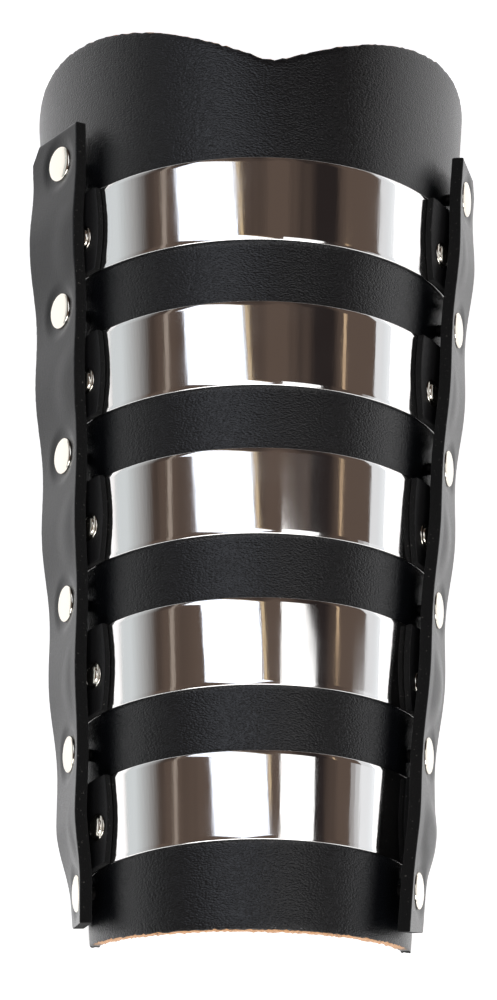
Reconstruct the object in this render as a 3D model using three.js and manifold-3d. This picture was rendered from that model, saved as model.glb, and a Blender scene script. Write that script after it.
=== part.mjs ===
// Forearm guard of thick black leather, lying on its two side edges.
// Five polished steel bands cross its front. Leather tabs hold the band ends, and two long
// leather strips, riveted down between the bands, run over the outer ends of the tabs.
// Millimetres. X runs across the arm, +Y towards the elbow and +Z up.

import * as THREE from 'three';
import { mergeVertices } from 'three/addons/utils/BufferGeometryUtils.js';
import Module from 'manifold-3d';

const wasm = await Module();
wasm.setup();

// Driving dimensions

const clearance = 0.3; // gap between pieces that lie on each other

const shell = {
  length: 258, // along the crest, from the wrist edge to the dip of the elbow edge
  wristHalfWidth: 44.9,
  wristHeight: 44.3,
  elbowHalfWidth: 63.5,
  elbowHeight: 70.7,
  wall: 3,
  wristSweep: 9, // how far the wrist edge has swept back where it meets the ground
  wristLean: 0.8, // and how much further still on the left, and less on the right
  lobeRise: 18.2, // the two elbow lobes above the dip between them
  lobeReach: 74, // around the shell, from the dip to the top of a lobe
  dipRounding: 2,
  dipOffset: 6.6, // the dip lies this far right of the crest
};

// A line cut straight across the flat hide bows and leans when the hide is bent into a taper
const crossLine = { reach: 50, bowDepth: 1, leanDepth: 0.8 };

const bands = {
  count: 5,
  height: 25.4,
  thickness: 1,
  wristMargin: 25.2, // bare leather below the lowest band
  elbowMargin: 31, // bare leather above the highest band, at the dip
  endInset: 3, // a band stops this far short of the outer end of its tabs
};

const tabs = {
  thickness: 2,
  bulge: 1.4, // how far the inner edge curves towards the crest
  outerInset: 2, // the outer end stops this far inside the strip's outer edge
};

const strips = {
  width: 22.5,
  thickness: 3,
  rivetInset: 11.5, // from the strip's outer edge to its line of rivets
  cornerCut: 5,
  waveDepth: 1.3, // how far the strip dips from the tabs to its rivets
  dimple: 0.5, // how far a rivet head sinks the leather around it
  dimpleWidth: 2, // the leather around a pressed spot rises over this distance
  lastRivet: 9.5, // from the last rivet to the chamfered end
};

// Each side's lines, as distances up from the ground around the outside of the shell, at the
// wrist edge and at the elbow dip
const sides = [
  {
    name: 'left',
    sign: -1,
    stripWrist: 0.7,
    stripElbow: 29.3,
    tabWrist: 27.5,
    tabElbow: 55.3,
    tabTrims: [0, 0, 0, 0, 0],
    setbackWrist: 4.2,
    setbackElbow: 7,
    wristMargin: 9, // from the wrist edge line to the strip's square end
    elbowMargin: 10, // from the elbow dip line to its chamfered end
    firstRivet: 11.5, // from the strip's square end to its first rivet
    rivetShift: 0.5, // the rivets between two bands sit this far above the middle of the gap
    rivetDrop: 1.8, // the small rivets sit this far below the middle of their tabs
  },
  {
    name: 'right',
    sign: 1,
    stripWrist: 8.6,
    stripElbow: 9.5,
    tabWrist: 25.3,
    tabElbow: 41.8,
    tabTrims: [4.5, 0.5, 0, 0, 2.2],
    setbackWrist: 6.2,
    setbackElbow: 6.4,
    wristMargin: 3,
    elbowMargin: 15.5,
    firstRivet: 15,
    rivetShift: -2,
    rivetDrop: 3.6,
  },
];

const smallRivet = {
  stemRadius: 1.5,
  headRadius: 3.9,
  headHeight: 1.3,
  backRadius: 3.5,
  backHeight: 1,
};

const capRivet = {
  stemRadius: 1.8,
  headRadius: 5,
  headHeight: 1.4,
  backRadius: 4.2,
  backHeight: 1,
};

// Head outlines as shares of a rivet's own radius and height, from the seat to the top
const steppedHead = [
  { radius: 1, height: 0 },
  { radius: 1, height: 0.38 },
  { radius: 0.72, height: 0.45 },
  { radius: 0.55, height: 1 },
];
const domedHead = [
  { radius: 1, height: 0 },
  { radius: 1, height: 0.2 },
  { radius: 0.78, height: 0.7 },
  { radius: 0.4, height: 0.96 },
];
const backHead = [
  { radius: 1, height: 0 },
  { radius: 0.85, height: 1 },
];

const facets = {
  shellAround: 38,
  shellAlong: 3,
  bandAround: 18,
  tabAround: 4,
  tabAlong: 5,
  rivetSides: 10,
  drillSides: 6,
};

const bandPitch = (shell.length - bands.wristMargin - bands.elbowMargin - bands.height)
  / (bands.count - 1);
const bandCentres = Array.from(
  { length: bands.count },
  (_, i) => bands.wristMargin + bands.height / 2 + i * bandPitch,
);
const bandSeat = clearance;
const tabSeat = bandSeat + bands.thickness + clearance;
const tabTop = tabSeat + tabs.thickness;
const smallHeadSeat = tabTop + clearance;

// The outside of the shell

const lerp = THREE.MathUtils.lerp;

function halfGirth(y) {
  const k = y / shell.length;
  const a = lerp(shell.wristHalfWidth, shell.elbowHalfWidth, k);
  const b = lerp(shell.wristHeight, shell.elbowHeight, k);
  const h = ((a - b) / (a + b)) ** 2;
  return (Math.PI * (a + b) * (1 + (3 * h) / (10 + Math.sqrt(4 - 3 * h)))) / 4;
}

// The point s around the shell from the crest at station y
function skin(s, y) {
  const k = y / shell.length;
  const angle = (Math.PI / 2) * (s / halfGirth(y));
  return new THREE.Vector3(
    lerp(shell.wristHalfWidth, shell.elbowHalfWidth, k) * Math.sin(angle),
    y,
    lerp(shell.wristHeight, shell.elbowHeight, k) * Math.cos(angle),
  );
}

function skinFrame(s, y) {
  const step = 0.01;
  const around = skin(s + step, y).sub(skin(s - step, y)).normalize();
  const along = skin(s, y + step).sub(skin(s, y - step));
  const normal = new THREE.Vector3().crossVectors(around, along).normalize();
  return { point: skin(s, y), around, normal };
}

function offSkin(s, y, offset) {
  const { point, normal } = skinFrame(s, y);
  return point.addScaledVector(normal, offset);
}

// Station of a line that was cut straight across the flat hide
function crossStation(s, t) {
  const k = s / crossLine.reach;
  return t + crossLine.bowDepth * k * k + crossLine.leanDepth * k;
}

function wristEdge(share) {
  return shell.wristSweep * share * share - shell.wristLean * share;
}

function elbowEdge(share) {
  const fromDip = share * halfGirth(shell.length) - shell.dipOffset;
  const rounded = Math.hypot(fromDip, shell.dipRounding) - shell.dipRounding;
  return shell.length + shell.lobeRise * Math.sin((Math.PI / 2) * (rounded / shell.lobeReach));
}

// Distance of a side's line from the crest, given its heights above the ground at both ends
function sideLine(side, wrist, elbow, y) {
  return side.sign * (halfGirth(y) - lerp(wrist, elbow, y / shell.length));
}

function stripEdgeLine(side, y) {
  return sideLine(side, side.stripWrist, side.stripElbow, y);
}

function rivetLine(side, y) {
  return stripEdgeLine(side, y) - side.sign * strips.rivetInset;
}

// The tabs were trimmed by hand, some shorter than others
function tabLine(side, centre) {
  const trim = side.tabTrims[bandCentres.indexOf(centre)];
  return sideLine(side, side.tabWrist - trim, side.tabElbow - trim, centre);
}

function smallRivetLine(side, centre) {
  const setback = lerp(side.setbackWrist, side.setbackElbow, centre / shell.length);
  return tabLine(side, centre) + side.sign * setback;
}

// Solids

function solidFrom(geometry) {
  geometry.deleteAttribute('normal');
  geometry.deleteAttribute('uv');
  const merged = mergeVertices(geometry, 1e-4);
  const corners = merged.index.array;
  const faces = [];
  for (let i = 0; i < corners.length; i += 3) {
    const [a, b, c] = [corners[i], corners[i + 1], corners[i + 2]];
    if (a !== b && b !== c && c !== a) faces.push(a, b, c);
  }
  const mesh = {
    numProp: 3,
    vertProperties: new Float32Array(merged.attributes.position.array),
    triVerts: new Uint32Array(faces),
  };
  const solid = new wasm.Manifold(new wasm.Mesh(mesh));
  if (solid.volume() > 0) return solid;
  mesh.triVerts.reverse();
  return new wasm.Manifold(new wasm.Mesh(mesh));
}

function geometryFrom(solid) {
  const mesh = solid.getMesh();
  const geometry = new THREE.BufferGeometry();
  geometry.setAttribute('position', new THREE.BufferAttribute(mesh.vertProperties, 3));
  geometry.setIndex(new THREE.BufferAttribute(mesh.triVerts, 1));
  geometry.computeVertexNormals();
  return geometry;
}

// A wall between two grids of points: pointAt(i, j, face), with face 0 below and face 1 on top
function wallSolid(across, along, pointAt) {
  const positions = [];
  for (const face of [0, 1]) {
    for (let j = 0; j <= along; j++) {
      for (let i = 0; i <= across; i++) positions.push(...pointAt(i, j, face).toArray());
    }
  }
  const layer = (across + 1) * (along + 1);
  const at = (i, j, face) => face * layer + j * (across + 1) + i;
  const faces = [];
  const quad = (a, b, c, d) => faces.push(a, b, c, a, c, d);
  for (let j = 0; j < along; j++) {
    for (let i = 0; i < across; i++) {
      quad(at(i, j, 1), at(i + 1, j, 1), at(i + 1, j + 1, 1), at(i, j + 1, 1));
      quad(at(i, j, 0), at(i, j + 1, 0), at(i + 1, j + 1, 0), at(i + 1, j, 0));
    }
  }
  for (let i = 0; i < across; i++) {
    quad(at(i, 0, 0), at(i + 1, 0, 0), at(i + 1, 0, 1), at(i, 0, 1));
    quad(at(i, along, 1), at(i + 1, along, 1), at(i + 1, along, 0), at(i, along, 0));
  }
  for (let j = 0; j < along; j++) {
    quad(at(0, j, 1), at(0, j + 1, 1), at(0, j + 1, 0), at(0, j, 0));
    quad(at(across, j, 0), at(across, j + 1, 0), at(across, j + 1, 1), at(across, j, 1));
  }
  const geometry = new THREE.BufferGeometry();
  geometry.setAttribute('position', new THREE.Float32BufferAttribute(positions, 3));
  geometry.setIndex(faces);
  return solidFrom(geometry);
}

// Rivets: a rivet's place is its point on the skin and the skin's normal there

function rivetPlace(s, y) {
  const { point, normal } = skinFrame(s, y);
  const turn = new THREE.Quaternion().setFromUnitVectors(new THREE.Vector3(0, 1, 0), normal);
  return { s, y, point, turn };
}

function rivetGeometry(rivet, head, headSeat) {
  const backSeat = -shell.wall - clearance;
  const back = backHead.map(({ radius, height }) => new THREE.Vector2(
    radius * rivet.backRadius,
    backSeat - height * rivet.backHeight,
  ));
  const front = head.map(({ radius, height }) => new THREE.Vector2(
    radius * rivet.headRadius,
    headSeat + height * rivet.headHeight,
  ));
  const outline = [
    new THREE.Vector2(0, backSeat - rivet.backHeight),
    ...back.reverse(),
    new THREE.Vector2(rivet.stemRadius, backSeat),
    new THREE.Vector2(rivet.stemRadius, headSeat),
    ...front,
    new THREE.Vector2(0, headSeat + rivet.headHeight),
  ];
  return geometryFrom(solidFrom(new THREE.LatheGeometry(outline, facets.rivetSides)));
}

function drill(solid, rivet, place) {
  const reach = 4 * (shell.wall + tabTop + strips.thickness);
  const radius = (rivet.stemRadius + clearance) / Math.cos(Math.PI / facets.drillSides);
  const tool = new THREE.CylinderGeometry(radius, radius, reach, facets.drillSides);
  tool.applyQuaternion(place.turn);
  tool.translate(place.point.x, place.point.y, place.point.z);
  return solid.subtract(solidFrom(tool));
}

function smallRivetPlace(side, centre) {
  const s = smallRivetLine(side, centre);
  return rivetPlace(s, crossStation(s, centre - side.rivetDrop));
}

function stripEnd(side) {
  return shell.length - side.elbowMargin;
}

function capRivetStations(side) {
  return [
    side.wristMargin + side.firstRivet,
    ...bandCentres.slice(1).map((centre) => centre - bandPitch / 2 + side.rivetShift),
    stripEnd(side) - strips.lastRivet,
  ];
}

function capRivetPlace(side, station) {
  const s = rivetLine(side, station);
  return rivetPlace(s, crossStation(s, station));
}

// How far the underside of a strip stands off the shell

function ease(x) {
  const k = THREE.MathUtils.clamp(x, 0, 1);
  return k * k * (3 - 2 * k);
}

// Each rivet pulls the strip down in a smooth wave that ends over the middle of the tabs beside
// it, and presses the leather flat under its head
const pressed = capRivet.headRadius + clearance;

function dipDepth(away, fromHead) {
  const wave = (1 + Math.cos(Math.PI * Math.min(1, (2 * away) / bandPitch))) / 2;
  return strips.waveDepth * wave
    + strips.dimple * (1 - ease((fromHead - pressed) / strips.dimpleWidth));
}

// Distance from a rivet to the edge of the nearest tab
function tabDistance(station) {
  return Math.min(...bandCentres.map((centre) => Math.abs(centre - station))) - bands.height / 2;
}

// A strip arches just high enough to clear the edge of every tab
function stripOverTabs(side) {
  const slack = capRivetStations(side).map((station) => {
    const away = tabDistance(station);
    return dipDepth(away, away);
  });
  return tabTop + clearance + Math.max(...slack);
}

function flatLift(t, v) {
  const radius = lerp(shell.wristHeight, shell.elbowHeight, t / shell.length);
  return (v * v) / (2 * radius);
}

function stripOffset(side, t, v) {
  let offset = stripOverTabs(side);
  for (const station of capRivetStations(side)) {
    const away = Math.abs(t - station);
    offset -= dipDepth(away, Math.max(away, Math.abs(v)));
  }
  const lift = flatLift(t, v);
  const headTop = smallHeadSeat + smallRivet.headHeight + clearance;
  for (const centre of bandCentres) {
    const rivetV = Math.abs(rivetLine(side, centre)) - Math.abs(smallRivetLine(side, centre));
    const away = Math.hypot(t - centre + side.rivetDrop, v - rivetV) - smallRivet.headRadius
      - clearance;
    offset += Math.max(0, headTop - offset - lift) * (1 - ease(away / smallRivet.headRadius));
  }
  return offset;
}

// Sub-parts

function shellSolid() {
  const around = facets.shellAround;
  const along = facets.shellAlong;
  let solid = wallSolid(around, along, (i, j, face) => {
    const share = (2 * i) / around - 1;
    const y = lerp(wristEdge(share), elbowEdge(share), j / along);
    const point = offSkin(share * halfGirth(y), y, face === 1 ? 0 : -shell.wall);
    if (i === 0 || i === around) point.z = 0;
    return point;
  });
  for (const side of sides) {
    for (const centre of bandCentres) {
      solid = drill(solid, smallRivet, smallRivetPlace(side, centre));
    }
    for (const station of capRivetStations(side)) {
      solid = drill(solid, capRivet, capRivetPlace(side, station));
    }
  }
  return solid;
}

function tabOuterEnd(side, centre) {
  return stripEdgeLine(side, centre) - side.sign * tabs.outerInset;
}

function bandSolid(centre) {
  const [left, right] = sides.map((side) => (
    tabOuterEnd(side, centre) - side.sign * bands.endInset
  ));
  let solid = wallSolid(facets.bandAround, 1, (i, j, face) => {
    const s = lerp(left, right, i / facets.bandAround);
    const y = crossStation(s, centre + (j - 0.5) * bands.height);
    return offSkin(s, y, bandSeat + face * bands.thickness);
  });
  for (const side of sides) solid = drill(solid, smallRivet, smallRivetPlace(side, centre));
  return solid;
}

function tabSolid(side, centre) {
  const outer = tabOuterEnd(side, centre);
  const solid = wallSolid(facets.tabAround, facets.tabAlong, (i, j, face) => {
    const share = j / facets.tabAlong;
    const bulge = tabs.bulge * (Math.sin(Math.PI * share) - 1);
    const inner = tabLine(side, centre) - side.sign * bulge;
    const s = lerp(inner, outer, i / facets.tabAround);
    const y = crossStation(s, centre + (share - 0.5) * bands.height);
    return offSkin(s, y, tabSeat + face * tabs.thickness);
  });
  return drill(solid, smallRivet, smallRivetPlace(side, centre));
}

// Stations along a strip: close together at each rivet, where the leather is pulled down
function stripStations(side) {
  const leastStep = 0.5;
  const end = stripEnd(side);
  const inside = [
    ...capRivetStations(side).flatMap((station) => {
      const steps = [0, pressed, pressed + strips.dimpleWidth, bandPitch / 3];
      return steps.flatMap((step) => [station - step, station + step]);
    }),
    ...bandCentres,
    end - strips.cornerCut,
  ].filter((station) => station > side.wristMargin && station < end);
  const sorted = [side.wristMargin, ...inside.sort((a, b) => a - b), end];
  return sorted.filter((station, i) => i === 0 || i === sorted.length - 1
    || (station - sorted[i - 1] > leastStep && end - station > leastStep));
}

function stripSolid(side) {
  const stations = stripStations(side);
  const inner = strips.width - strips.rivetInset;
  const columns = [-strips.rivetInset, -pressed, 0, pressed, (pressed + inner) / 2, inner];
  let solid = wallSolid(columns.length - 1, stations.length - 1, (i, j, face) => {
    const t = stations[j];
    const cut = Math.max(0, t - (stripEnd(side) - strips.cornerCut));
    const v = Math.max(columns[i], cut - strips.rivetInset);
    const line = rivetLine(side, t);
    const { point, around, normal } = skinFrame(line, crossStation(line, t));
    point.y = crossStation(line - side.sign * v, t);
    point.addScaledVector(new THREE.Vector3(around.x, 0, around.z), -side.sign * v);
    return point.addScaledVector(normal, stripOffset(side, t, v) + face * strips.thickness);
  });
  for (const station of capRivetStations(side)) {
    solid = drill(solid, capRivet, capRivetPlace(side, station));
  }
  return solid;
}

// Finishes

const finishes = {
  shellLeather: { color: 0x161719, roughness: 0.5, metalness: 0 },
  stripLeather: { color: 0x1d1e21, roughness: 0.55, metalness: 0 },
  tabLeather: { color: 0x232427, roughness: 0.6, metalness: 0 },
  mirrorSteel: { color: 0xd9dadb, roughness: 0.08, metalness: 1 },
  nickelPlate: { color: 0xc9c7c2, roughness: 0.16, metalness: 1 },
};

const gauntlet = new THREE.Group();

function addPiece(name, geometry, finish) {
  const mesh = new THREE.Mesh(geometry, new THREE.MeshStandardMaterial(finishes[finish]));
  mesh.name = name;
  gauntlet.add(mesh);
  return mesh;
}

function addRivet(name, rivet, head, headSeat, place) {
  const mesh = addPiece(name, rivetGeometry(rivet, head, headSeat), 'nickelPlate');
  mesh.position.copy(place.point);
  mesh.quaternion.copy(place.turn);
}

addPiece('body', geometryFrom(shellSolid()), 'shellLeather');

bandCentres.forEach((centre, i) => {
  addPiece(`band_${i + 1}`, geometryFrom(bandSolid(centre)), 'mirrorSteel');
});

for (const side of sides) {
  bandCentres.forEach((centre, i) => {
    addPiece(`tab_${side.name}_${i + 1}`, geometryFrom(tabSolid(side, centre)), 'tabLeather');
    addRivet(
      `small_rivet_${side.name}_${i + 1}`,
      smallRivet,
      steppedHead,
      smallHeadSeat,
      smallRivetPlace(side, centre),
    );
  });
  addPiece(`strip_${side.name}`, geometryFrom(stripSolid(side)), 'stripLeather');
  capRivetStations(side).forEach((station, i) => {
    const headSeat = stripOffset(side, station, 0) + strips.thickness + clearance;
    addRivet(
      `cap_rivet_${side.name}_${i + 1}`,
      capRivet,
      domedHead,
      headSeat,
      capRivetPlace(side, station),
    );
  });
}

// The origin is the middle of the ground under the whole guard
const extent = new THREE.Box3().setFromObject(gauntlet, true);
const middle = extent.getCenter(new THREE.Vector3());
gauntlet.position.set(-middle.x, -middle.y, -extent.min.z);

export default gauntlet;
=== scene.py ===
import math

import bmesh
import bpy
from mathutils import Matrix, Vector, noise


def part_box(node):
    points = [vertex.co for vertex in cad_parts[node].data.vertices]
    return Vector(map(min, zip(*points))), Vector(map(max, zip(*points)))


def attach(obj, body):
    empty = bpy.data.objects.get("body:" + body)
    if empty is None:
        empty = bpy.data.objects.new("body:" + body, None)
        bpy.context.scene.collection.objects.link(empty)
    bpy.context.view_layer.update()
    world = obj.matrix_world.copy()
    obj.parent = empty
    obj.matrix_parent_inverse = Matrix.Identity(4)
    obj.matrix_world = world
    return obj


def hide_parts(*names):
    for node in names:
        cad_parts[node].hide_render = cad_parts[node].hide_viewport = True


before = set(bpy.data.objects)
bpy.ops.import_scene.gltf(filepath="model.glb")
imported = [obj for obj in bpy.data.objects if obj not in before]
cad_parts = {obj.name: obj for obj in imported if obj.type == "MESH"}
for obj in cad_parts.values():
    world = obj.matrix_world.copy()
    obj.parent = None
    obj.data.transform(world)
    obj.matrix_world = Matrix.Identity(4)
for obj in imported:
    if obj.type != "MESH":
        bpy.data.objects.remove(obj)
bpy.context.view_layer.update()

mm = 0.001

# the flat hide bends over this tapered half shell, sized as in the part's source, though the
# layers lie closer here and the dip at the elbow is rounder
form = {
    "length": 258 * mm, "wall": 3 * mm, "gap": 0.05 * mm,
    "wristHalfWidth": 44.9 * mm, "wristHeight": 44.3 * mm,
    "elbowHalfWidth": 63.5 * mm, "elbowHeight": 70.7 * mm,
    "wristSweep": 9 * mm, "wristLean": 0.8 * mm, "lobeRise": 18.4 * mm, "lobeReach": 72.5 * mm,
    "dipRounding": 3.5 * mm, "dipOffset": 6.6 * mm,
    "crossAt": 50 * mm, "bow": 1 * mm, "lean": 0.8 * mm,
}
bodyLow, bodyHigh = (Vector(corner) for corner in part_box("body"))
crestX = (bodyLow.x + bodyHigh.x) / 2
wristY = bodyLow.y


def lerp(a, b, k):
    return a + (b - a) * k


def ease(x):
    k = min(1, max(0, x))
    return k * k * (3 - 2 * k)


def halfGirth(y):
    k = y / form["length"]
    a = lerp(form["wristHalfWidth"], form["elbowHalfWidth"], k)
    b = lerp(form["wristHeight"], form["elbowHeight"], k)
    h = ((a - b) / (a + b)) ** 2
    return math.pi * (a + b) * (1 + 3 * h / (10 + math.sqrt(4 - 3 * h))) / 4


def skinPoint(s, y):
    # s runs around the shell from the crest, y along it from the wrist
    k = y / form["length"]
    angle = math.pi / 2 * s / halfGirth(y)
    x = lerp(form["wristHalfWidth"], form["elbowHalfWidth"], k) * math.sin(angle)
    z = lerp(form["wristHeight"], form["elbowHeight"], k) * math.cos(angle)
    return Vector((crestX + x, wristY + y, z))


def skinFrame(s, y):
    step = 0.01 * mm
    around = (skinPoint(s + step, y) - skinPoint(s - step, y)).normalized()
    along = skinPoint(s, y + step) - skinPoint(s, y - step)
    return skinPoint(s, y), around, around.cross(along).normalized()


def offSkin(s, y, height):
    point, _, normal = skinFrame(s, y)
    return point + normal * height


def crossStation(s, t):
    # a line cut straight across the flat hide bows and leans once it is bent
    k = s / form["crossAt"]
    return t + form["bow"] * k * k + form["lean"] * k


# materials

def paint(hexColor):
    # sRGB hex to linear
    channels = [int(hexColor[i:i + 2], 16) / 255 for i in (0, 2, 4)]
    return [c / 12.92 if c <= 0.04045 else ((c + 0.055) / 1.055) ** 2.4 for c in channels] + [1]


def addNode(tree, kind, inputs=None, **settings):
    node = tree.nodes.new(kind)
    for name, value in settings.items():
        setattr(node, name, value)
    for name, value in (inputs or {}).items():
        if isinstance(value, bpy.types.NodeSocket):
            tree.links.new(value, node.inputs[name])
        else:
            node.inputs[name].default_value = value
    return node


def newMaterial(name):
    material = bpy.data.materials.new(name)
    material.use_nodes = True
    tree = material.node_tree
    return material, tree, tree.nodes["Principled BSDF"]


def mixColors(tree, factor, first, second):
    mix = addNode(tree, "ShaderNodeMix", data_type="RGBA")
    tree.links.new(factor, mix.inputs[0])
    for socket, value in ((mix.inputs[6], first), (mix.inputs[7], second)):
        if isinstance(value, bpy.types.NodeSocket):
            tree.links.new(value, socket)
        else:
            socket.default_value = paint(value)
    return mix.outputs[2]


def ranged(tree, value, fromMin, fromMax, toMin, toMax):
    node = addNode(tree, "ShaderNodeMapRange", {
        "Value": value, "From Min": fromMin, "From Max": fromMax, "To Min": toMin, "To Max": toMax,
    })
    return node.outputs["Result"]


def grainLeather(name, look):
    # drum-dyed cowhide: a fine pebble grain under a thin finish, so it shines softly in broad light
    material, tree, shader = newMaterial(name)
    place = addNode(tree, "ShaderNodeTexCoord").outputs["Object"]
    stretch = addNode(tree, "ShaderNodeMapping", {"Vector": place, "Scale": look["stretch"]})
    drift = addNode(tree, "ShaderNodeTexNoise", {
        "Vector": place, "Scale": 1 / look["patch"], "Detail": 3.0,
    })
    # the cells of the grain are rounded domes; painted shade darkens the creases between them
    pebble = addNode(tree, "ShaderNodeTexVoronoi", {
        "Vector": stretch.outputs["Vector"], "Scale": 1 / look["pebble"], "Randomness": 1.0,
    }, feature="F1", voronoi_dimensions="3D")
    pores = addNode(tree, "ShaderNodeTexNoise", {
        "Vector": stretch.outputs["Vector"], "Scale": 1 / look["pore"], "Detail": 4.0, "Roughness": 0.6,
    })
    tone = mixColors(tree, drift.outputs["Fac"], look["deep"], look["worn"])
    shade = ranged(tree, pebble.outputs["Distance"], 0.1, 0.75, 0.0, 0.6)
    tree.links.new(mixColors(tree, shade, tone, look["deep"]), shader.inputs["Base Color"])
    rough = ranged(tree, pores.outputs["Fac"], 0.3, 0.7, look["gloss"], look["matt"])
    tree.links.new(rough, shader.inputs["Roughness"])
    shader.inputs["IOR"].default_value = look["ior"]
    shader.inputs["Specular IOR Level"].default_value = look["shine"]
    fine = addNode(tree, "ShaderNodeBump", {
        "Height": pores.outputs["Fac"], "Strength": look["poreStrength"], "Distance": look["pore"] * 0.3,
    })
    grain = addNode(tree, "ShaderNodeBump", {
        "Height": pebble.outputs["Distance"], "Normal": fine.outputs["Normal"],
        "Strength": look["pebbleStrength"], "Distance": look["pebble"] * 0.3,
    }, invert=True)
    tree.links.new(grain.outputs["Normal"], shader.inputs["Normal"])
    return material


cutFinish = {"roughness": 0.92, "sheenRoughness": 0.6, "fleckWidth": 0.08, "fibreBump": 0.9,
             "fibreDepth": 0.6, "dyeFade": 0.6}


def cutLeather(name, look):
    # a knife-cut edge shows the fibres: rough, fuzzy and speckled where the dye didn't reach
    material, tree, shader = newMaterial(name)
    place = addNode(tree, "ShaderNodeTexCoord").outputs["Object"]
    fibre = addNode(tree, "ShaderNodeTexNoise", {
        "Vector": place, "Scale": 1 / look["fibre"], "Detail": 5.0, "Roughness": 0.75,
    })
    fleck = addNode(tree, "ShaderNodeTexNoise", {
        "Vector": place, "Scale": 1 / look["fleck"], "Detail": 2.0,
    })
    body = mixColors(tree, fibre.outputs["Fac"], look["dark"], look["light"])
    spot = ranged(tree, fleck.outputs["Fac"], look["fleckFrom"],
                  look["fleckFrom"] + cutFinish["fleckWidth"], 0.0, 1.0)
    color = mixColors(tree, spot, body, look["speck"])
    if "dyedBelow" in look:
        height = addNode(tree, "ShaderNodeSeparateXYZ", {"Vector": place}).outputs["Z"]
        dyed = ranged(tree, height, look["dyedBelow"] * cutFinish["dyeFade"], look["dyedBelow"],
                      1.0, 0.0)
        color = mixColors(tree, dyed, color, look["dye"])
    tree.links.new(color, shader.inputs["Base Color"])
    shader.inputs["Roughness"].default_value = cutFinish["roughness"]
    shader.inputs["Specular IOR Level"].default_value = look["shine"]
    shader.inputs["Sheen Weight"].default_value = look["sheen"]
    shader.inputs["Sheen Roughness"].default_value = cutFinish["sheenRoughness"]
    rough = addNode(tree, "ShaderNodeBump", {
        "Height": fibre.outputs["Fac"], "Strength": cutFinish["fibreBump"],
        "Distance": look["fibre"] * cutFinish["fibreDepth"],
    })
    tree.links.new(rough.outputs["Normal"], shader.inputs["Normal"])
    return material


hairDepth = 0.02 * mm


def polishedMetal(name, look):
    # buffed to a mirror, with the faint hairlines that handling leaves
    material, tree, shader = newMaterial(name)
    place = addNode(tree, "ShaderNodeTexCoord").outputs["Object"]
    hair = addNode(tree, "ShaderNodeMapping", {"Vector": place, "Scale": look["hairScale"]})
    lines = addNode(tree, "ShaderNodeTexNoise", {
        "Vector": hair.outputs["Vector"], "Scale": 1.0, "Detail": 3.0,
    })
    smear = addNode(tree, "ShaderNodeTexNoise", {
        "Vector": place, "Scale": 1 / look["smear"], "Detail": 2.0,
    })
    shader.inputs["Base Color"].default_value = paint(look["metal"])
    shader.inputs["Metallic"].default_value = 1.0
    rough = ranged(tree, smear.outputs["Fac"], 0.35, 0.7, look["gloss"], look["dull"])
    tree.links.new(rough, shader.inputs["Roughness"])
    bump = addNode(tree, "ShaderNodeBump", {
        "Height": lines.outputs["Fac"], "Strength": look["hairStrength"], "Distance": hairDepth,
    })
    tree.links.new(bump.outputs["Normal"], shader.inputs["Normal"])
    return material


shellLeather = grainLeather("black drum-dyed cowhide", {
    "deep": "050608", "worn": "0b0d11", "patch": 40 * mm, "pebble": 0.55 * mm, "pore": 0.3 * mm,
    "stretch": (0.7, 1.3, 1.0), "gloss": 0.24, "matt": 0.37,
    "pebbleStrength": 0.7, "poreStrength": 0.5, "ior": 1.5, "shine": 0.48,
})
stripLeather = grainLeather("black bridle leather", {
    "deep": "060708", "worn": "0b0c0f", "patch": 30 * mm, "pebble": 0.6 * mm, "pore": 0.3 * mm,
    "stretch": (1.0, 1.0, 1.0), "gloss": 0.24, "matt": 0.34,
    "pebbleStrength": 0.12, "poreStrength": 0.15, "ior": 1.42, "shine": 0.36,
})
tabLeather = grainLeather("black cowhide offcut", {
    "deep": "0b0b0c", "worn": "101012", "patch": 20 * mm, "pebble": 0.8 * mm, "pore": 0.3 * mm,
    "stretch": (1.0, 1.0, 1.0), "gloss": 0.5, "matt": 0.66,
    "pebbleStrength": 0.3, "poreStrength": 0.25, "ior": 1.42, "shine": 0.5,
})
blackCut = cutLeather("black dyed cut edge", {
    "dark": "040404", "light": "131313", "speck": "54524e", "fibre": 0.5 * mm, "fleck": 0.7 * mm,
    "fleckFrom": 0.68, "sheen": 0.04, "shine": 0.12,
})
tanCut = cutLeather("undyed cut edge", {
    "dark": "8a5426", "light": "dca468", "speck": "4a3120", "fibre": 0.6 * mm, "fleck": 0.9 * mm,
    "fleckFrom": 0.62, "sheen": 0.3, "shine": 0.5, "dyedBelow": 14 * mm, "dye": "121212",
})
fleshSide = cutLeather("suede flesh side", {
    "dark": "1d1916", "light": "3a312a", "speck": "5a4a3c", "fibre": 0.8 * mm, "fleck": 2.5 * mm,
    "fleckFrom": 0.66, "sheen": 0.35, "shine": 0.5,
})
mirrorSteel = polishedMetal("mirror polished stainless", {
    "metal": "e6e5e4", "gloss": 0.05, "dull": 0.12, "smear": 25 * mm,
    "hairScale": (1400.0, 30.0, 1400.0), "hairStrength": 0.3,
})
nickelPlate = polishedMetal("bright nickel plate", {
    "metal": "e2ddd2", "gloss": 0.06, "dull": 0.16, "smear": 4 * mm,
    "hairScale": (900.0, 900.0, 900.0), "hairStrength": 0.25,
})
# painted shade: the rivet posts are nickel like their heads, but they sit in shade under the strips and
# tabs, so their metal is painted near black
shadePaintedPost = polishedMetal("nickel post painted shade dark", {
    "metal": "1c1b1a", "gloss": 0.55, "dull": 0.75, "smear": 4 * mm,
    "hairScale": (900.0, 900.0, 900.0), "hairStrength": 0.2,
})
print("materials mixed")


# making pieces

slab = {"rimCuts": 2, "rimAngle": 1.2, "bevelSteps": 2, "facing": 0.9}  # the angle is in radians


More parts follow.
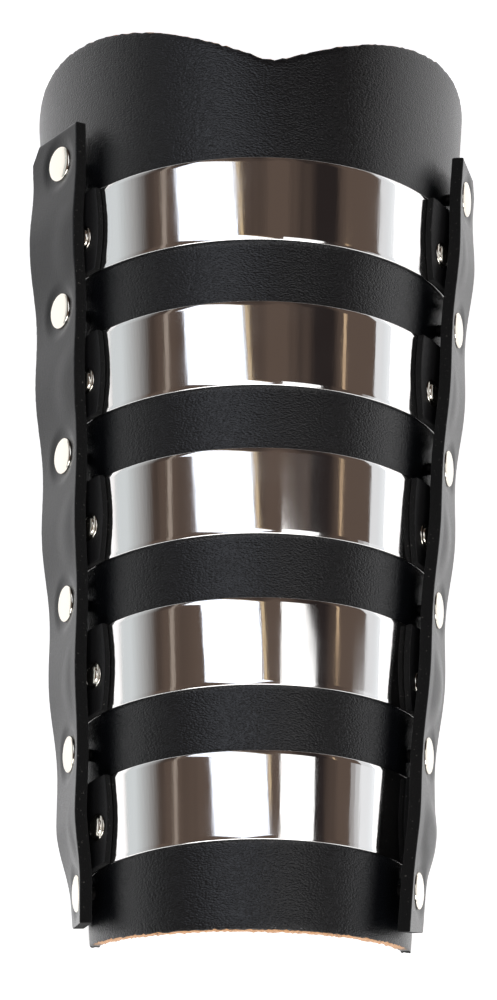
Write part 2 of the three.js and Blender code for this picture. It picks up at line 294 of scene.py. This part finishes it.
def flatSlab(width, length, thickness, across, along, rounding):
    # a rectangle of hide or steel with its rim edges rounded over, resting on z = 0
    bm = bmesh.new()
    bmesh.ops.create_grid(bm, x_segments=across, y_segments=along, size=0.5)
    bmesh.ops.scale(bm, vec=(width, length, 1), verts=bm.verts)
    raised = bmesh.ops.extrude_face_region(bm, geom=bm.faces[:], use_keep_orig=True)["geom"]
    bmesh.ops.translate(
        bm, vec=(0, 0, thickness), verts=[v for v in raised if isinstance(v, bmesh.types.BMVert)],
    )
    bmesh.ops.recalc_face_normals(bm, faces=bm.faces[:])
    uprights = [e for e in bm.edges if abs(e.verts[0].co.z - e.verts[1].co.z) > thickness / 2]
    bmesh.ops.subdivide_edges(bm, edges=uprights, cuts=slab["rimCuts"], use_grid_fill=True)
    rims = [e for e in bm.edges
            if len(e.link_faces) == 2 and e.calc_face_angle() > slab["rimAngle"]]
    bmesh.ops.bevel(
        bm, geom=rims, offset=rounding, offset_type="OFFSET", segments=slab["bevelSteps"],
        profile=0.5, affect="EDGES", material=-1,
    )
    return bm


def finishPiece(bm, name, nodes, materials):
    mesh = bpy.data.meshes.new(name)
    bm.to_mesh(mesh)
    bm.free()
    for polygon in mesh.polygons:
        polygon.use_smooth = True
    for material in materials:
        mesh.materials.append(material)
    piece = bpy.data.objects.new(name, mesh)
    bpy.context.scene.collection.objects.link(piece)
    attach(piece, "root")
    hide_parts(*nodes)
    return piece


def markRims(bm, onTop, onSide, below, sideTest=None):
    # faces of a flat slab: grain side on top, flesh side below, cut edge round the rim
    for face in bm.faces:
        if face.normal.z > slab["facing"]:
            face.material_index = onTop
        elif face.normal.z < -slab["facing"]:
            face.material_index = below
        else:
            face.material_index = onSide if sideTest is None else sideTest(face)


# the shell

# shares are of the half girth, apart from endShare, which is of the length
shell = {"across": 170, "along": 110, "rounding": 0.45 * mm, "sag": 0.22 * mm, "sagSize": 45 * mm,
         "sagFade": 0.1, "tanShare": 0.93, "endShare": 0.002, "fuzz": 0.45 * mm,
         "fuzzSize": 0.8 * mm}


def wristEdge(share):
    return form["wristSweep"] * share * share - form["wristLean"] * share


def elbowEdge(share):
    fromDip = share * halfGirth(form["length"]) - form["dipOffset"]
    rounded = math.hypot(fromDip, form["dipRounding"]) - form["dipRounding"]
    return form["length"] + form["lobeRise"] * math.sin(math.pi / 2 * rounded / form["lobeReach"])


def makeShell():
    width = 2 * halfGirth(form["length"] / 2)
    length = form["length"]
    bm = flatSlab(width, length, form["wall"], shell["across"], shell["along"], shell["rounding"])

    def rimKind(face):
        centre = face.calc_center_median()
        atEnd = abs(face.normal.y) > 0.5
        return 2 if atEnd and abs(centre.x) < shell["tanShare"] * width / 2 else 1

    markRims(bm, onTop=0, onSide=1, below=3, sideTest=rimKind)
    for v in bm.verts:
        share = min(1, max(-1, 2 * v.co.x / width))
        k = v.co.y / length + 0.5
        y = lerp(wristEdge(share), elbowEdge(share), k)
        s = share * halfGirth(y)
        height = v.co.z - form["wall"]
        rag = noise.noise(Vector((s, y, v.co.z)) / shell["fuzzSize"])
        if k < shell["endShare"] or k > 1 - shell["endShare"]:
            y += rag * shell["fuzz"]  # the cut ends are a little ragged
        sag = noise.noise(Vector((s, y, 0)) / shell["sagSize"]) * shell["sag"]
        fade = ease((1 - abs(share)) / shell["sagFade"])
        v.co = offSkin(s, y, height + sag * fade)
        if abs(share) == 1:
            v.co.z = 0
    for v in bm.verts:
        v.co.z = max(0, v.co.z)
    return finishPiece(bm, "shell_leather", ["body"],
                       [shellLeather, blackCut, tanCut, fleshSide])


makeShell()
print("shell bent")

# bands, tabs, strips and rivets follow lines laid out on the flat hide

bands = {"count": 5, "height": 25.4 * mm, "thickness": 1 * mm, "wristMargin": 25.2 * mm,
         "elbowMargin": 31 * mm, "endInset": 3 * mm, "across": 120, "along": 18,
         "rounding": 0.28 * mm, "wobble": 0.05 * mm, "wobbleSize": 38 * mm, "wobbleStep": 0.5}
tabs = {"thickness": 2 * mm, "bulge": 1.4 * mm, "outerInset": 2 * mm, "across": 40, "along": 34,
        "rounding": 0.4 * mm, "rag": 0.12 * mm, "ragSize": 0.8 * mm, "ragShare": 0.02}
strips = {"inner": 10.4 * mm, "thickness": 3.5 * mm, "cornerCut": 5 * mm, "arch": 1 * mm,
          "waveDepth": 1.3 * mm, "waveInner": 0.48, "waveOuter": 1, "dimple": 0.6 * mm,
          "dimpleWidth": 3.5 * mm, "humpWidth": 9 * mm, "humpShare": 0.5,
          "wristSkew": 5 * mm, "lastRivet": 9.5 * mm, "across": 26, "along": 250,
          "rounding": 0.4 * mm, "rag": 0.25 * mm, "ragSize": 1.6 * mm, "ragShare": 0.01,
          "cutLean": 0.5}
# the rivet and tab lines are given at both ends, as distances up from the ground around the shell,
# and outer is how far a strip reaches below its rivets; a flat strip meets the round shell at
# touch, above its rivets, which sets how it leans
sides = [
    {"name": "left", "sign": -1, "rivetsWrist": 12.5 * mm, "rivetsElbow": 41 * mm,
     "outerWrist": 12.6 * mm, "outerElbow": 15 * mm,
     "touchWrist": -6 * mm, "touchElbow": 6 * mm, "wristDip": 3.2 * mm, "elbowDip": 2.2 * mm,
     "wristSink": 0.3 * mm,
     "tabWrist": 27.5 * mm, "tabElbow": 55.3 * mm, "wristMargin": 9 * mm, "elbowMargin": 10 * mm,
     "firstRivet": 11.5 * mm, "rivetShift": 0.5 * mm, "rivetDrop": 1.8 * mm,
     "setbackWrist": 4.2 * mm, "setbackElbow": 7 * mm, "tabTrims": (0, 0, 0, 0, 0)},
    {"name": "right", "sign": 1, "rivetsWrist": 20 * mm, "rivetsElbow": 21 * mm,
     "outerWrist": 9.6 * mm, "outerElbow": 12 * mm, "wristSink": 1.8 * mm,
     "touchWrist": -10 * mm, "touchElbow": -3 * mm, "wristDip": 1.5 * mm, "elbowDip": 1.8 * mm,
     "tabWrist": 25.3 * mm, "tabElbow": 41.8 * mm, "wristMargin": 3 * mm, "elbowMargin": 15.5 * mm,
     "firstRivet": 15 * mm, "rivetShift": -2 * mm, "rivetDrop": 3.6 * mm,
     "setbackWrist": 6.2 * mm, "setbackElbow": 6.4 * mm,
     "tabTrims": (4.5 * mm, 0.5 * mm, 0, 0, 2.2 * mm)},
]
smallRivet = {"stem": 1.5 * mm, "head": 3.9 * mm, "headHeight": 1.3 * mm,
              "back": 3.5 * mm, "backHeight": 1 * mm}
capRivet = {"stem": 1.8 * mm, "head": 5.3 * mm, "headHeight": 1.1 * mm, "back": 4.2 * mm,
            "backHeight": 1 * mm}

bandPitch = (form["length"] - bands["wristMargin"] - bands["elbowMargin"] - bands["height"]) / (
    bands["count"] - 1)
bandCentres = [
    bands["wristMargin"] + bands["height"] / 2 + i * bandPitch for i in range(bands["count"])
]
bandSeat = form["gap"]
tabSeat = bandSeat + bands["thickness"] + form["gap"]
tabTop = tabSeat + tabs["thickness"]


def stripEnd(side):
    return form["length"] - side["elbowMargin"]


def capStations(side):
    between = [centre - bandPitch / 2 + side["rivetShift"] for centre in bandCentres[1:]]
    return [side["wristMargin"] + side["firstRivet"], *between, stripEnd(side) - strips["lastRivet"]]


def sideLine(side, wrist, elbow, y):
    return side["sign"] * (halfGirth(y) - lerp(wrist, elbow, y / form["length"]))


def rivetLine(side, y):
    return sideLine(side, side["rivetsWrist"], side["rivetsElbow"], y)


def stripOuter(side, y):
    return lerp(side["outerWrist"], side["outerElbow"], y / form["length"])


def tabLine(side, number):
    # the tabs were trimmed by hand, some shorter than others
    trim = side["tabTrims"][number - 1]
    return sideLine(side, side["tabWrist"] - trim, side["tabElbow"] - trim, bandCentres[number - 1])


def smallRivetLine(side, number):
    setback = lerp(side["setbackWrist"], side["setbackElbow"], bandCentres[number - 1] / form["length"])
    return tabLine(side, number) + side["sign"] * setback


def tabOuterEnd(side, centre):
    return rivetLine(side, centre) + side["sign"] * (stripOuter(side, centre) - tabs["outerInset"])


def makeBand(number, centre):
    left, right = (tabOuterEnd(side, centre) - side["sign"] * bands["endInset"] for side in sides)
    width = right - left
    bm = flatSlab(width, bands["height"], bands["thickness"], bands["across"], bands["along"],
                  bands["rounding"])
    for v in bm.verts:
        s = lerp(left, right, v.co.x / width + 0.5)
        y = crossStation(s, centre + v.co.y)
        place = Vector((s, number * bands["wobbleStep"], 0)) / bands["wobbleSize"]
        v.co = offSkin(s, y, bandSeat + v.co.z + noise.noise(place) * bands["wobble"])
    return finishPiece(bm, f"steel_band_{number}", [f"band_{number}"],
                       [mirrorSteel])


def makeTab(side, number, centre):
    outer = tabOuterEnd(side, centre)
    inner = tabLine(side, number)
    width = abs(outer - inner)
    bm = flatSlab(width, bands["height"], tabs["thickness"], tabs["across"], tabs["along"],
                  tabs["rounding"])
    markRims(bm, onTop=0, onSide=1, below=1)
    for v in bm.verts:
        share = v.co.x / width + 0.5  # 0 at the inner edge
        across = v.co.y / bands["height"] + 0.5
        bulge = tabs["bulge"] * (math.sin(math.pi * min(1, max(0, across))) - 1) * (1 - share)
        s = lerp(inner, outer, share) - side["sign"] * bulge
        y = crossStation(s, centre + v.co.y)
        if share < tabs["ragShare"]:
            s += tabs["rag"] * noise.noise(Vector((s, y, v.co.z)) / tabs["ragSize"])
        v.co = offSkin(s, y, tabSeat + v.co.z)
    if side["sign"] < 0:
        bmesh.ops.reverse_faces(bm, faces=bm.faces[:])
    name = f"tab_{side['name']}_{number}"
    return finishPiece(bm, f"leather_{name}", [name], [tabLeather, blackCut])


def stripRadius(t):
    return lerp(form["wristHeight"], form["elbowHeight"], t / form["length"])


def stripLean(side, t):
    return lerp(side["touchWrist"], side["touchElbow"], t / form["length"]) / stripRadius(t)


def stripHeight(side, t, v):
    # the strip arches over the tabs, dips to its rivets and humps over the small rivet heads
    height = tabTop + strips["arch"] - lerp(side["wristSink"], 0, t / form["length"])
    stations = capStations(side)
    # the inner edge stays straight and the outer edge takes most of the wave
    share = (v + stripOuter(side, t)) / (strips["inner"] + stripOuter(side, t))
    wave = lerp(strips["waveOuter"], strips["waveInner"], share)
    for station in stations:
        away = abs(t - station)
        pastEnd = station == stations[0] > t or station == stations[-1] < t
        fall = 0 if pastEnd else math.pi * min(1, 2 * away / bandPitch)
        depth = {stations[0]: side["wristDip"], stations[-1]: side["elbowDip"]}.get(
            station, strips["waveDepth"])
        near = 1 - ease((math.hypot(away, v) - capRivet["head"]) / strips["dimpleWidth"])
        height -= wave * depth * (1 + math.cos(fall)) / 2 + strips["dimple"] * near
    radius = stripRadius(t)
    lean = stripLean(side, t)
    height += lean * (lean * radius - 2 * v) / 2
    headTop = tabTop + smallRivet["headHeight"] + 2 * form["gap"]
    for number, centre in enumerate(bandCentres, 1):
        rivetV = abs(rivetLine(side, centre)) - abs(smallRivetLine(side, number))
        away = math.hypot(t - centre + side["rivetDrop"], v - rivetV) - smallRivet["head"]
        hump = strips["humpShare"] * max(0, headTop - height - v * v / (2 * radius))
        height += hump * (1 - ease(away / strips["humpWidth"]))
    return height


def makeStrip(side):
    width = max(side["outerWrist"], side["outerElbow"]) + strips["inner"]
    length = stripEnd(side) - side["wristMargin"]
    bm = flatSlab(width, length, strips["thickness"], strips["across"], strips["along"],
                  strips["rounding"])
    markRims(bm, onTop=0, onSide=1, below=1)
    for v in bm.verts:
        across = v.co.x / width + 0.5  # 0 at the outer edge
        skew = strips["wristSkew"] * (1 - across)
        t = stripEnd(side) - (length - skew) * (0.5 - v.co.y / length)
        cut = max(0, t - (stripEnd(side) - strips["cornerCut"]))
        outer = stripOuter(side, t)
        reach = max(across * (outer + strips["inner"]), cut * (1 - across * strips["cutLean"])) - outer
        line = rivetLine(side, t)
        point, around, normal = skinFrame(line, crossStation(line, t))
        flat = Vector((around.x, 0, around.z))
        point.y += crossStation(line - side["sign"] * reach, t) - crossStation(line, t)
        rag = 0
        if across < strips["ragShare"] or across > 1 - strips["ragShare"]:
            rag = strips["rag"] * noise.noise(Vector((t, v.co.z, side["sign"])) / strips["ragSize"])
        lean = stripLean(side, t)
        point -= flat * side["sign"] * (reach + rag + lean * v.co.z)
        v.co = point + normal * (stripHeight(side, t, reach) + v.co.z)
        v.co.z = max(v.co.z, 0)
    if side["sign"] > 0:
        bmesh.ops.reverse_faces(bm, faces=bm.faces[:])
    name = f"strip_{side['name']}"
    return finishPiece(bm, f"leather_{name}", [name], [stripLeather, blackCut])


# head outlines: share of the head's radius, share of its height
steppedHead = [(0.97, 0), (1, 0.16), (0.96, 0.32), (0.78, 0.38), (0.72, 0.46), (0.76, 0.56),
               (0.72, 0.74), (0.55, 0.92), (0.3, 0.99)]
domedHead = [(0.97, 0), (1, 0.14), (1, 0.34), (0.96, 0.54), (0.87, 0.7), (0.7, 0.84),
             (0.45, 0.94), (0.2, 0.99)]
backHead = [(0.97, 0), (1, 0.2), (0.9, 0.6), (0.6, 0.9), (0.3, 0.98)]


turning = {"steps": 40, "merge": 0.001 * mm, "postFrom": 1 * mm, "postTo": 0.01 * mm}


def turnedRivet(rivet, head, seat):
    # one outline spun about the rivet's own axis, from its back cap to the top of its head
    backSeat = -form["wall"] - form["gap"]
    outline = [(0, backSeat - rivet["backHeight"])]
    outline += [(r * rivet["back"], backSeat - z * rivet["backHeight"]) for r, z in reversed(backHead)]
    outline += [(rivet["stem"], backSeat), (rivet["stem"], seat)]
    outline += [(r * rivet["head"], seat + z * rivet["headHeight"]) for r, z in head]
    outline += [(0, seat + rivet["headHeight"])]
    bm = bmesh.new()
    verts = [bm.verts.new((r, 0, z)) for r, z in outline]
    edges = [bm.edges.new(pair) for pair in zip(verts, verts[1:])]
    bmesh.ops.spin(bm, geom=verts + edges, cent=(0, 0, 0), axis=(0, 0, 1), angle=2 * math.pi,
                   steps=turning["steps"], use_merge=True)
    bmesh.ops.remove_doubles(bm, verts=bm.verts[:], dist=turning["merge"])
    bmesh.ops.recalc_face_normals(bm, faces=bm.faces[:])
    for face in bm.faces:
        middle = face.calc_center_median().z
        if backSeat + turning["postFrom"] < middle < seat - turning["postTo"]:
            face.material_index = 1  # the post between back and head: nickel, painted dark for the shade under the strips
    return bm


def makeRivet(name, rivet, head, seat, s, y, lean=0):
    point, around, normal = skinFrame(s, y)
    bm = turnedRivet(rivet, head, seat)
    axis = normal - around * lean
    turn = Vector((0, 0, 1)).rotation_difference(axis).to_matrix().to_4x4()
    bmesh.ops.transform(bm, matrix=Matrix.Translation(point) @ turn, verts=bm.verts[:])
    return finishPiece(bm, f"nickel_{name}", [name],
                       [nickelPlate, shadePaintedPost])


for i, centre in enumerate(bandCentres, 1):
    makeBand(i, centre)
    for side in sides:
        makeTab(side, i, centre)
        s = smallRivetLine(side, i)
        makeRivet(f"small_rivet_{side['name']}_{i}", smallRivet, steppedHead,
                  tabTop + form["gap"], s, crossStation(s, centre - side["rivetDrop"]))
print("bands and tabs laid on")
for side in sides:
    makeStrip(side)
    for i, station in enumerate(capStations(side), 1):
        s = rivetLine(side, station)
        seat = stripHeight(side, station, 0) + strips["thickness"] + form["gap"]
        makeRivet(f"cap_rivet_{side['name']}_{i}", capRivet, domedHead, seat, s,
                  crossStation(s, station), side["sign"] * stripLean(side, station))
print("strips riveted down")

# studio

studio = {"floorSize": 8, "floorDrop": 0.2 * mm, "floor": "f4f4f4", "floorGlow": 0.8,
          "floorRoughness": 0.8, "room": "63544b", "roomShade": "2c2625", "roomPatch": 2.2,
          "roomStretch": (1.0, 0.25, 1.0), "shadeFrom": 0.34, "shadeTo": 0.5,
          "cove": "e2e7e9", "coveFrom": -0.06, "coveTo": 0.28, "coveLean": 0.2}


def makeFloor():
    bm = bmesh.new()
    bmesh.ops.create_grid(bm, x_segments=1, y_segments=1, size=studio["floorSize"] / 2)
    bmesh.ops.translate(bm, vec=(0, 0, -studio["floorDrop"]), verts=bm.verts)
    mesh = bpy.data.meshes.new("light table")
    bm.to_mesh(mesh)
    bm.free()
    floor = bpy.data.objects.new("light_table", mesh)
    bpy.context.scene.collection.objects.link(floor)
    material, tree, shader = newMaterial("white light table")
    shader.inputs["Base Color"].default_value = paint(studio["floor"])
    shader.inputs["Roughness"].default_value = studio["floorRoughness"]
    shader.inputs["Emission Color"].default_value = paint(studio["floor"])
    shader.inputs["Emission Strength"].default_value = studio["floorGlow"]
    mesh.materials.append(material)


def addSoftbox(name, place, size, glow, color="ffffff", aim=(0, 0, 0.04), along=(0, 1, 0)):
    # glow is how bright the box itself looks; its second side lies along the arm
    light = bpy.data.lights.new(name, "AREA")
    light.shape = "RECTANGLE"
    light.size, light.size_y = size
    light.energy = glow * math.pi * size[0] * size[1]
    light.color = paint(color)[:3]
    lamp = bpy.data.objects.new(name, light)
    outward = (Vector(place) - Vector(aim)).normalized()
    along = Vector(along)
    lengthwise = (along - outward * outward.dot(along)).normalized()
    axes = Matrix((lengthwise.cross(outward), lengthwise, outward))
    lamp.location = place
    lamp.rotation_euler = axes.transposed().to_euler()
    bpy.context.scene.collection.objects.link(lamp)


makeFloor()
addSoftbox("key softbox", (-0.28, 0.2, 0.8), (0.36, 1.0), 1.9, "eaf2ff",
           aim=(-0.28, 0.2, 0), along=(-0.7, 0.71, 0))
addSoftbox("key edge glow", (-0.137, 0.34, 0.8), (0.02, 0.9), 0.7, "ffe2b0",
           aim=(-0.137, 0.34, 0), along=(-0.7, 0.71, 0))
addSoftbox("fill softbox", (0.49, -0.28, 0.8), (0.44, 0.86), 1.6, aim=(0.49, -0.28, 0))
addSoftbox("left streak", (-0.8, 0.1, 0.68), (0.05, 1.6), 0.28, "fff1e2")
for low, high, glow in ((0, 0.25, 0.95), (0.25, 0.32, 0.6), (0.32, 0.39, 0.33)):
    middle = (low + high) / 2
    addSoftbox("right card", (0.97, -0.63, middle), (high - low, 1.6), glow, "f4faff",
               aim=(0, -0.63, middle))
addSoftbox("low right card", (0.97, 0.57, 0.115), (0.23, 0.8), 0.85, "f4faff",
           aim=(0, 0.57, 0.04))
addSoftbox("warm streak", (0.92, 0.27, 0.62), (0.035, 0.2), 0.6, "ffdcb0",
           aim=(0, 0.1, 0.04))
addSoftbox("front wash", (0, -2.2, 1.3), (3.2, 1.2), 5)

world = bpy.data.worlds.new("dim room")
world.use_nodes = True
room = world.node_tree
around = addNode(room, "ShaderNodeTexCoord").outputs["Generated"]
stretched = addNode(room, "ShaderNodeMapping", {"Vector": around, "Scale": studio["roomStretch"]})
patches = addNode(room, "ShaderNodeTexNoise", {
    "Vector": stretched.outputs["Vector"], "Scale": studio["roomPatch"], "Detail": 3.0,
})
shade = ranged(room, patches.outputs["Fac"], studio["shadeFrom"], studio["shadeTo"], 0.0, 1.0)
upper = mixColors(room, shade, studio["roomShade"], studio["room"])
axes = addNode(room, "ShaderNodeSeparateXYZ", {"Vector": around}).outputs
# the walls pale softly towards the floor, higher up on the left
leaning = addNode(room, "ShaderNodeMath", {0: axes["X"], 1: studio["coveLean"], 2: axes["Z"]},
                  operation="MULTIPLY_ADD").outputs["Value"]
cove = ranged(room, leaning, studio["coveFrom"], studio["coveTo"], 1.0, 0.0)
room.links.new(mixColors(room, cove, upper, studio["cove"]),
               room.nodes["Background"].inputs["Color"])
bpy.context.scene.world = world
print("studio lit")

# camera: above the wrist end, looking down at the photo's angle

view = {"tilt": 24, "distance": 1400 * mm, "focalPixels": 4830, "framePixels": 1000,
        "sensor": 24, "aimY": 128 * mm, "aimZ": 20 * mm, "shiftX": -0.56 * mm, "shiftY": 10.9 * mm}
tilt = math.radians(view["tilt"])
outward = Vector((0, -math.sin(tilt), math.cos(tilt)))
upward = Vector((0, math.cos(tilt), math.sin(tilt)))
camera = bpy.data.objects.new("camera", bpy.data.cameras.new("camera"))
camera.location = (
    Vector((crestX + view["shiftX"], wristY + view["aimY"], view["aimZ"]))
    + outward * view["distance"] + upward * view["shiftY"]
)
camera.rotation_euler = (tilt, 0, 0)
camera.data.sensor_fit = "VERTICAL"
camera.data.sensor_height = view["sensor"]
camera.data.lens = view["focalPixels"] / view["framePixels"] * view["sensor"]
bpy.context.scene.collection.objects.link(camera)
bpy.context.scene.camera = camera
bpy.context.scene.view_settings.view_transform = "Standard"
